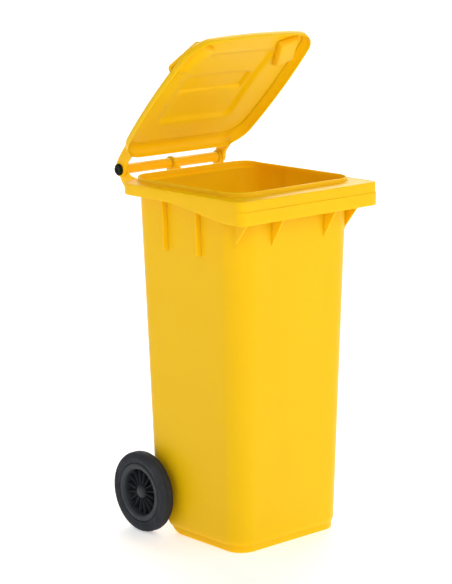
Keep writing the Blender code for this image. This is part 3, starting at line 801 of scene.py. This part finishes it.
def between(a, b, t):
    return [(mix(p[0], q[0], t), mix(p[1], q[1], t)) for p, q in zip(a, b)]


def shoulder_rings(depth, steps=11):
    """The lid's rounded edge, or a skin lying at a depth inside it, from its skirt to its top."""
    radius = LID_SHOULDER - depth
    rings = []
    for k in range(steps + 1):
        a = math.pi / 2 * k / steps
        rise = radius * math.sin(a) - LID_SHOULDER
        rings.append(level(lid_outline(depth + radius * (1 - math.cos(a))), raised(lid_surface, rise)))
    return rings


def lid_solid(depth):
    """Everything inside the lid, down to a depth below its outer face."""
    return mesh_from_rings("lid_solid", [level(lid_outline(depth), -0.0300)] + shoulder_rings(depth))


def lid_rings():
    """The lid's outer face from its free edge to the middle of its raised strip."""
    rings = [level(lid_outline(0.0006), LID_FREE_EDGE), level(lid_outline(0.0), LID_FREE_EDGE + 0.0008)]
    rings += shoulder_rings(0.0)
    edge, panel = lid_outline(LID_SHOULDER), plan_outline(PANEL)
    rings += [level(between(edge, panel, t), lid_surface) for t in (0.15, 0.35, 0.6, 0.85)]
    for k in range(8):
        t = k / 7
        rise = PANEL_RISE * smoothstep(t)
        rings.append(level(plan_outline(PANEL, PANEL_RAMP * t), raised(lid_surface, rise)))
    top, strip = plan_outline(PANEL, PANEL_RAMP), plan_outline(STRIP)
    rings += [level(between(top, strip, t), raised(lid_surface, PANEL_RISE)) for t in (0.3, 0.6, 0.85)]
    for k in range(6):
        t = k / 5
        rise = smoothstep(t)
        rings.append(level(plan_outline(STRIP, 0.0065 * t),
                           lambda x, y, rise=rise: mix(lid_surface(x, y) + PANEL_RISE, STRIP_TOP, rise)))
    return rings


def lid_shell_mesh():
    """The lid's skin, thickened inwards."""
    outer = mesh_from_rings("lid_skin", lid_rings(), cap_start=False)
    holder = bpy.data.objects.new("lid_skin", outer)
    bpy.context.scene.collection.objects.link(holder)
    bm = bmesh.new()
    bm.from_mesh(outer)
    top = max(bm.faces, key=lambda f: f.calc_area())
    if top.normal.z < 0:
        bmesh.ops.reverse_faces(bm, faces=bm.faces)
    bm.to_mesh(outer)
    bm.free()
    solidify = holder.modifiers.new("thickness", "SOLIDIFY")
    solidify.thickness = LID_SHELL
    solidify.offset = -1.0
    solidify.use_even_offset = True
    mesh = bpy.data.meshes.new_from_object(holder.evaluated_get(bpy.context.evaluated_depsgraph_get()))
    bpy.data.objects.remove(holder)
    return mesh


def pocket_place(side, along, outward, z):
    """A position measured from a grip pocket's centre, along it and outward from it."""
    turn = Matrix.Rotation(-side * POCKET_TURN, 4, "Z")
    centre = Matrix.Translation((side * POCKET_CENTRE[0], POCKET_CENTRE[1], z))
    return centre @ turn @ Matrix.Translation((side * outward, along, 0))


def tapered_block(name, side, ends, radius):
    """A grip tray, or the space in one: a block that widens from its low end to its high one."""
    mesh = bpy.data.meshes.new(name)
    bm = bmesh.new()
    bmesh.ops.create_cube(bm, size=1.0)
    for vert in bm.verts:
        end = ends[0] if vert.co.z < 0 else ends[1]
        outward = end[0] if vert.co.x * side < 0 else end[1]
        vert.co = (side * outward, end[2] if vert.co.y < 0 else end[3], end[4])
    bmesh.ops.bevel(bm, geom=list(bm.edges), offset=radius, segments=5, profile=0.5, affect="EDGES")
    bmesh.ops.transform(bm, matrix=pocket_place(side, 0, 0, 0), verts=bm.verts)
    bm.to_mesh(mesh)
    bm.free()
    return mesh


def lid_mesh():
    """The shell with a grip tray sunk into each front corner."""
    mesh = lid_shell_mesh()
    for side in (-1, 1):
        mesh = boolean(mesh, tapered_block("grip_tray", side, TRAY, 0.0045), "UNION")
        mesh = boolean(mesh, tapered_block("grip_void", side, TRAY_VOID, 0.0035), "DIFFERENCE")
    return mesh


def grip_bar(side):
    """A bar across a grip tray, bent down at both ends into rounded feet."""
    low, high = GRIP_FEET
    top, bend = GRIP_UNDER + GRIP_HEIGHT / 2, 0.0075
    path = [(low, 0.0185), (low, top - bend)]
    path += arc(low + bend, top - bend, bend, 180, 90, 6)[1:]
    path += [(mix(low + bend, high - bend, t), top) for t in (0.25, 0.5, 0.75)]
    path += arc(high - bend, top - bend, bend, 90, 0, 6) + [(high, 0.0185)]
    out, up = GRIP_WIDTH / 2, GRIP_HEIGHT / 2
    section = rounded_corners([(-out, -up), (out, -up), (out, up), (-out, up)], 0.0026)
    rings = []
    for i, (along, z) in enumerate(path):
        before, after = path[max(i - 1, 0)], path[min(i + 1, len(path) - 1)]
        tangent = Vector((after[0] - before[0], after[1] - before[1])).normalized()
        normal = Vector((-tangent.y, tangent.x))
        ring = []
        for outward, rise in section:
            spot = Vector((along, z)) + normal * rise
            ring.append(tuple(pocket_place(side, spot.x, GRIP_OUTWARD + outward, spot.y).translation))
        rings.append(ring)
    return mesh_from_rings("grip_bar", rings)


def lid_arm_outline():
    outline = arc(0.0, 0.0, ARM_RADIUS, -130, 75, 28)
    outline += [(-0.0100, 0.0208), (-0.0170, 0.0225), (-0.0270, 0.0240), (-0.0360, 0.0250), (-0.0480, 0.0262),
                (-0.0600, 0.0266), (-0.0680, 0.0254), (-0.0760, 0.0222), (-0.0820, 0.0196), (-0.0820, 0.0080),
                (-0.0640, -0.0046), (-0.0480, -0.0048), (-0.0360, -0.0050), (-0.0290, -0.0058),
                (-0.0240, -0.0074), (-0.0200, -0.0095), (-0.0160, -0.0118)]
    return outline


def lid_arm(side):
    """A hinge arm, ended inside the lid's skin."""
    low, high = sorted((side * ARM_INNER, side * ARM_OUTER))
    plate = rounded_plate("lid_arm", lid_arm_outline(), low, high, edge=0.0016)
    return boolean(plate, lid_solid(0.0020), "DIFFERENCE")


def bead_mesh():
    """A thin bead round the lid's underside. It sits a little lower away from the hinge."""
    path = [(x, y, lid_surface(x, y) - mix(LID_SHELL, 0.0052, smoothstep((-0.080 - y) / 0.040)))
            for x, y in lid_outline(0.0, BEAD)]
    section = [(BEAD_HALF * math.cos(a), BEAD_HANG * math.sin(a) - BEAD_SUNK)
               for a in (math.radians(d) for d in (-30, 0, 30, 60, 90, 120, 150, 180, 210))]
    rings = []
    for i, point in enumerate(path):
        here, after, before = Vector(point), Vector(path[(i + 1) % len(path)]), Vector(path[i - 1])
        inward = Vector((0, 0, 1)).cross((after - before).normalized()).normalized()
        rings.append([tuple(here + inward * sideways - Vector((0, 0, drop))) for sideways, drop in section])
    return mesh_from_rings("lid_bead", rings + [rings[0]], False, False)


def opened(mesh):
    """Turn a lid mesh from its closed drawing to where it stands."""
    mesh.transform(Matrix.Translation((0, HINGE_Y, HINGE_Z)) @ Matrix.Rotation(-LID_OPEN, 4, "X"))
    return mesh


def build_lid(mat):
    piece("lid_shell", opened(lid_mesh()), mat, "lid", 32)
    bead = bead_mesh()
    bm = bmesh.new()
    bm.from_mesh(bead)
    bmesh.ops.remove_doubles(bm, verts=bm.verts, dist=0.00001)
    bmesh.ops.recalc_face_normals(bm, faces=bm.faces)
    bm.to_mesh(bead)
    bm.free()
    piece("lid_bead", opened(bead), mat, "lid", 60)
    arms = joined("lid_arms", [lid_arm(side) for side in (-1, 1)])
    piece("lid_arms", opened(arms), mat, "lid", 40)
    grips = joined("lid_grips", [grip_bar(side) for side in (-1, 1)])
    piece("lid_grips", opened(grips), mat, "lid", 40)


def build_hinge_caps(mat):
    head = ARM_OUTER + 0.0003
    button = [(0.0, 0.0052), (0.0060, 0.0052), (0.0066, 0.0056), (0.0110, 0.0056), (0.0128, 0.0050),
              (0.0140, 0.0038), (0.0145, 0.0022), (0.0145, 0.0004), (0.0141, 0.0), (0.0080, 0.0)]
    profile = [(radius, head + rise) for radius, rise in button]
    profile += [(0.0080, PIN_TIP + 0.0010), (0.0070, PIN_TIP), (0.0, PIN_TIP)]
    for side, label in ((-1, "left"), (1, "right")):
        mesh = turned("hinge_cap_" + label, profile, 64)
        mesh.transform(Matrix.Translation((0, HINGE_Y, HINGE_Z)) @ Matrix.Diagonal((side, 1, 1, 1)))
        if side < 0:
            mesh.flip_normals()
        piece("hinge_cap_" + label, mesh, mat, "bin", 50)


# ---------------------------------------------------------------- wheels and axle, turned about X

def tyre_profile():
    """A solid tyre: rounded shoulders, two fine grooves in the tread and a raised ring on each sidewall."""
    out, inn = WHEEL_OUTER, WHEEL_OUTER - TYRE_WIDTH
    middle = (out + inn) / 2
    half = [(0.0733, out - 0.0040), (0.0740, out - 0.0022), (0.0752, out - 0.0014), (0.0775, out - 0.0010),
            (0.0842, out - 0.0004), (0.0850, out), (0.0868, out), (0.0876, out - 0.0006),
            (0.0915, out - 0.0008), (0.0945, out - 0.0014), (0.0966, out - 0.0028),
            (0.0983, out - 0.0052), (0.0992, out - 0.0080)]
    groove, bottom = middle + 0.0060, WHEEL_RADIUS - 0.0012
    half += [(WHEEL_RADIUS, groove + 0.0008), (bottom, groove + 0.0004), (bottom, groove - 0.0004),
             (WHEEL_RADIUS, groove - 0.0008), (WHEEL_RADIUS, middle + 0.0030)]
    other = [(r, 2 * middle - x) for r, x in reversed(half)]
    return half + other


def hub_profile():
    """The hub: a rim ring under the tyre, a dished disc and a long bearing barrel."""
    out, inn = WHEEL_OUTER, WHEEL_OUTER - TYRE_WIDTH
    return [(0.0730, out - 0.0035), (0.0730, inn + 0.0032), (0.0712, inn + 0.0012), (0.0650, inn + 0.0012),
            (0.0625, inn + 0.0030), (0.0600, 0.1925), (0.0200, 0.1925), (0.0190, 0.1905), (0.0190, 0.1725),
            (0.0178, BRACKET_OUTER + 0.0031), (0.0133, BRACKET_OUTER + 0.0031), (0.0133, 0.2053),
            (0.0140, 0.2060), (0.0140, 0.2137), (0.0156, 0.2137), (0.0163, 0.2128), (0.0167, 0.1970),
            (0.0177, 0.1960), (0.0545, 0.1960), (0.0555, 0.1970), (0.0572, 0.2145), (0.0582, out - 0.0045),
            (0.0600, out - 0.0024), (0.0625, out - 0.0014), (0.0690, out - 0.0008), (0.0712, out - 0.0012),
            (0.0724, out - 0.0022)]


def hub_ribs(side):
    """Sixteen thin radial ribs on the outer face and eight on the inner one."""
    ribs = []
    rows = ((16, 0.5, 0.2040, 0.0375, (0.0170, 0.0012, 0.0410), 0.0005),
            (8, 0.0, 0.1915, 0.0400, (0.0044, 0.0022, 0.0440), 0.0006))
    for count, start, x, middle, size, edge in rows:
        for index in range(count):
            turn = Matrix.Rotation(2 * math.pi * (index + start) / count, 4, "X")
            place = turn @ Matrix.Translation((side * x, 0, middle))
            ribs.append(rounded_block("rib", size, place, edge, 2))
    return ribs


def build_wheels(mats):
    for side, label in ((-1, "left"), (1, "right")):
        body = "wheel_" + label
        place = Matrix.Translation((0, AXLE_Y, AXLE_Z)) @ Matrix.Diagonal((side, 1, 1, 1))

        def lathe(name, profile, mat, on, extra=(), steps=96, angle=35):
            mesh = turned(name, profile, steps)
            mesh.transform(place)
            if side < 0:
                mesh.flip_normals()
            if extra:
                for rib in extra:
                    rib.transform(Matrix.Translation((0, AXLE_Y, AXLE_Z)))
                mesh = joined(name, [mesh, *extra])
            piece(name, mesh, mat, on, angle)

        lathe("tyre_rubber_" + label, tyre_profile(), mats["rubber"], body, steps=128)
        lathe("hub_" + label, hub_profile(), mats["hub"], body, hub_ribs(side))
        cap = [(0.0, 0.2188), (0.0050, 0.2186), (0.0088, 0.2180), (0.0118, 0.2168), (0.0134, 0.2156),
               (0.0140, 0.2146), (0.0140, 0.2140), (0.0, 0.2140)]
        lathe("centre_cap_" + label, cap, mats["hub"], body, steps=64)
        bush = [(0.0128, 0.2050), (0.0130, 0.2046), (0.0130, 0.1724), (0.0126, 0.1720), (0.0106, 0.1720),
                (0.0104, 0.1724), (0.0104, 0.2046), (0.0106, 0.2050)]
        lathe("bush_" + label, bush, mats["bush"], body, steps=64)
        low = BRACKET_OUTER + 0.0003
        washer = [(0.0166, low + 0.0025), (0.0170, low + 0.0021), (0.0170, low + 0.0004), (0.0166, low),
                  (0.0108, low), (0.0104, low + 0.0004), (0.0104, low + 0.0021), (0.0108, low + 0.0025)]
        lathe("washer_" + label, washer, mats["steel"], "bin", steps=64)
        clip = [(0.0124, 0.2100), (0.0133, 0.2092), (0.0136, 0.2082), (0.0136, 0.2075), (0.0104, 0.2075),
                (0.0104, 0.2085), (0.0118, 0.2100)]
        lathe("clip_" + label, clip, mats["steel"], "bin", steps=48)


def build_axle(mat):
    end = 0.2130
    profile = [(0.0, end), (0.0090, end), (0.0098, end - 0.0005), (AXLE_RADIUS, end - 0.0014),
               (AXLE_RADIUS, -end + 0.0014), (0.0098, -end + 0.0005), (0.0090, -end), (0.0, -end)]
    mesh = turned("axle_rod", profile, 64)
    mesh.transform(Matrix.Translation((0, AXLE_Y, AXLE_Z)))
    piece("axle_rod", mesh, mat, "bin", 40)


# ---------------------------------------------------------------- floor, light and camera

def build_floor():
    """A wide plain floor, half a millimetre under the bin so that the two faces never coincide."""
    mesh = bpy.data.meshes.new("floor")
    reach = 60.0
    low = -0.0005
    corners = [(x * reach, y * reach, low) for x, y in ((-1, -1), (1, -1), (1, 1), (-1, 1))]
    mesh.from_pydata(corners, [], [(0, 1, 2, 3)])
    floor = bpy.data.objects.new("floor", mesh)
    bpy.context.scene.collection.objects.link(floor)
    mesh.materials.append(pale_floor())


def sun(name, towards, strength, spread=50.0):
    """A large soft light, far off in the direction given from the bin."""
    data = bpy.data.lights.new(name, "SUN")
    data.energy = strength
    data.angle = math.radians(spread)
    light = bpy.data.objects.new(name, data)
    light.rotation_euler = Vector(towards).to_track_quat("Z", "Y").to_euler()
    bpy.context.scene.collection.objects.link(light)


def build_light():
    world = bpy.data.worlds.new("studio")
    bpy.context.scene.world = world
    world.use_nodes = True
    world.node_tree.nodes["Background"].inputs["Color"].default_value = (1.0, 1.0, 1.0, 1.0)
    world.node_tree.nodes["Background"].inputs["Strength"].default_value = 0.38
    sun("front", (0.40, -0.85, 0.30), 0.60)
    sun("front_left", (-0.30, -0.80, 0.52), 0.72)
    sun("left", (-0.85, -0.05, 0.52), 0.26)
    sun("rear", (0.55, 0.60, 0.58), 1.80)


CAMERA_AT = (-3.2832, -3.6639, 1.6189)
CAMERA_YAW, CAMERA_PITCH, CAMERA_ROLL = (math.radians(d) for d in (41.523, -11.816, -0.676))
FOCAL_PIXELS = 2065.5
PICTURE_WIDTH = 452
SENSOR = 36.0


def build_camera():
    """The photograph's viewpoint, as a long lens from the front left."""
    yaw, pitch, roll = CAMERA_YAW, CAMERA_PITCH, CAMERA_ROLL
    ahead = Vector((math.sin(yaw) * math.cos(pitch), math.cos(yaw) * math.cos(pitch), math.sin(pitch)))
    right = Vector((math.cos(yaw), -math.sin(yaw), 0))
    up = right.cross(ahead)
    right, up = (right * math.cos(roll) + up * math.sin(roll), -right * math.sin(roll) + up * math.cos(roll))
    data = bpy.data.cameras.new("camera")
    data.sensor_fit = "HORIZONTAL"
    data.sensor_width = SENSOR
    data.lens = FOCAL_PIXELS * SENSOR / PICTURE_WIDTH
    data.clip_end = 200.0
    camera = bpy.data.objects.new("camera", data)
    camera.matrix_world = Matrix.Translation(CAMERA_AT) @ Matrix((right, up, -ahead)).transposed().to_4x4()
    bpy.context.scene.collection.objects.link(camera)
    bpy.context.scene.camera = camera


def hide_frame():
    """Every CAD node is hidden, and a finished piece stands for it."""
    stands_for = {"tub": ["body"], "lid_shell": ["lid"], "axle_rod": ["axle"]}
    for label in ("left", "right"):
        stands_for["hinge_cap_" + label] = ["hinge_pin_" + label]
        stands_for["tyre_rubber_" + label] = ["tyre_" + label]
        stands_for["hub_" + label] = ["wheel_hub_" + label]
        stands_for["centre_cap_" + label] = ["hub_cap_" + label]
        stands_for["bush_" + label] = ["hub_bush_" + label]
        stands_for["washer_" + label] = ["axle_washer_" + label]
        stands_for["clip_" + label] = ["retaining_clip_" + label]
    for name, nodes in stands_for.items():
        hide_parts(*nodes)


def main():
    build_camera()
    yellow = yellow_plastic()
    mats = {"rubber": black_rubber(), "hub": dark_grey_plastic(), "bush": white_nylon(),
            "steel": zinc_plated_steel()}
    build_tub(yellow)
    build_lid(yellow)
    build_hinge_caps(black_plastic())
    build_wheels(mats)
    build_axle(mats["steel"])
    hide_frame()
    build_floor()
    build_light()
    bpy.context.scene.view_settings.view_transform = "Standard"


main()
